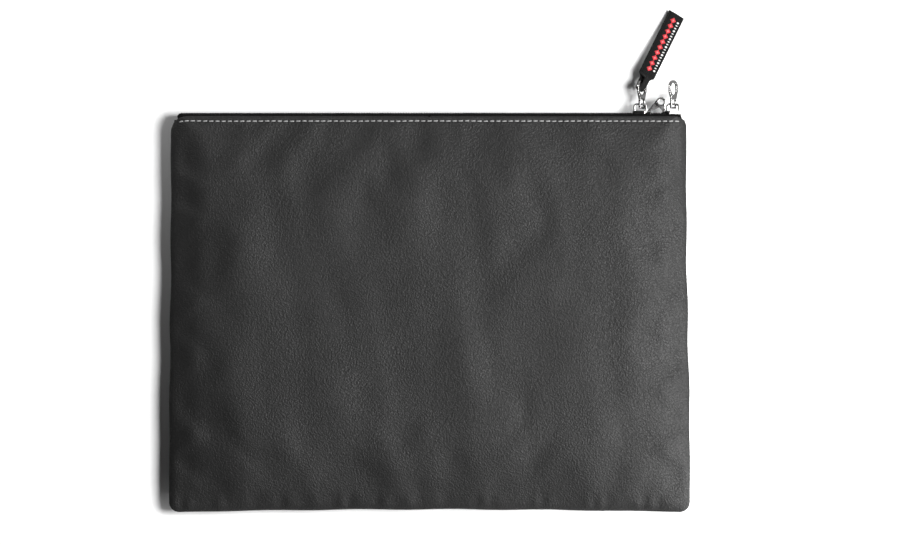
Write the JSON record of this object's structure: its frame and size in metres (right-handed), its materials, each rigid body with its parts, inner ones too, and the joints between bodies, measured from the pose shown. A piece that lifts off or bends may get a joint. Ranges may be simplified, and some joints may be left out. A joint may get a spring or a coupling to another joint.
{
  "type": "fire-resistant zip pouch",
  "caption": "Flat padded zip pouch for batteries, with two lockable sliders facing each other, ring pulls and a fabric tag.",
  "frame": {"origin": "centre of the back face that the pouch rests on; Y is centred between the bottom seam and the crown of the zip", "axes": "+X to the right along the zip, +Y from the bottom seam to the zip, +Z out of the front panel"},
  "size_m": [0.3, 0.2878, 0.02],
  "materials": {
    "leather": "fine-grain matt leatherette",
    "padding": "needled felt",
    "lining": "woven glass cloth",
    "zip_tape": "woven polyester tape",
    "coil": "moulded nylon monofilament",
    "cord": "twisted yarn",
    "end_stop": "crimped",
    "thread": "bonded polyester thread",
    "seam_thread": "bonded polyester thread",
    "slider_metal": "nickel-plated zinc, polished",
    "pull_metal": "nickel-plated zinc, polished",
    "tag_webbing": "woven ribbon",
    "tag_band": "jacquard-woven ribbon"
  },
  "bodies": {
    "pouch_body": {"back_panel": "leather", "back_padding": "padding", "back_lining": "lining", "back_zip_tape": "zip_tape", "back_coil": "coil", "back_coil_cord": "cord", "back_topstitch": "thread", "edge_seam_thread": "seam_thread", "left_end_stop": "end_stop", "right_end_stop": "end_stop"},
    "front_half": {"front_panel": "leather", "front_padding": "padding", "front_lining": "lining", "front_zip_tape": "zip_tape", "front_coil": "coil", "front_coil_cord": "cord", "front_topstitch": "thread"},
    "left_slider": {"left_slider_body": "slider_metal", "left_slider_bridge": "slider_metal"},
    "left_pull": {"left_pull": "pull_metal"},
    "tag": {"tag_strap": "tag_webbing", "tag_band": "tag_band", "tag_stitching": "thread"},
    "right_slider": {"right_slider_body": "slider_metal", "right_slider_bridge": "slider_metal"},
    "right_pull": {"right_pull": "pull_metal"}
  },
  "joints": [
    {"name": "mouth_open", "type": "hinge", "parent": "pouch_body", "child": "front_half", "pos_m": [0, -0.115, 0.01], "axis": [1, 0, 0], "range_deg": [0, 14], "deforming": ["front_coil", "front_coil_cord", "front_zip_tape"]},
    {"name": "left_slider_slide", "type": "slide", "parent": "pouch_body", "child": "left_slider", "axis": [1, 0, 0], "range_m": [-0.2605, 0]},
    {"name": "right_slider_slide", "type": "slide", "parent": "pouch_body", "child": "right_slider", "axis": [1, 0, 0], "range_m": [0, 0.0015]},
    {"name": "left_pull_swing", "type": "hinge", "parent": "left_slider", "child": "left_pull", "pos_m": [0.1223, 0.118, 0.01], "axis": [0, 0, 1], "range_deg": [-20, 35]},
    {"name": "right_pull_swing", "type": "hinge", "parent": "right_slider", "child": "right_pull", "pos_m": [0.1404, 0.118, 0.01], "axis": [0, 0, 1], "range_deg": [-50, 20]},
    {"name": "tag_swing", "type": "hinge", "parent": "left_pull", "child": "tag", "pos_m": [0.12317, 0.1329, 0.00897], "axis": [0.5848, -0.4149, -0.697], "range_deg": [-1.5, 60]}
  ],
  "couplings": [
    {"joint": "left_slider_slide", "follows": "mouth_open", "m_per_rad": -1.0641}
  ]
}
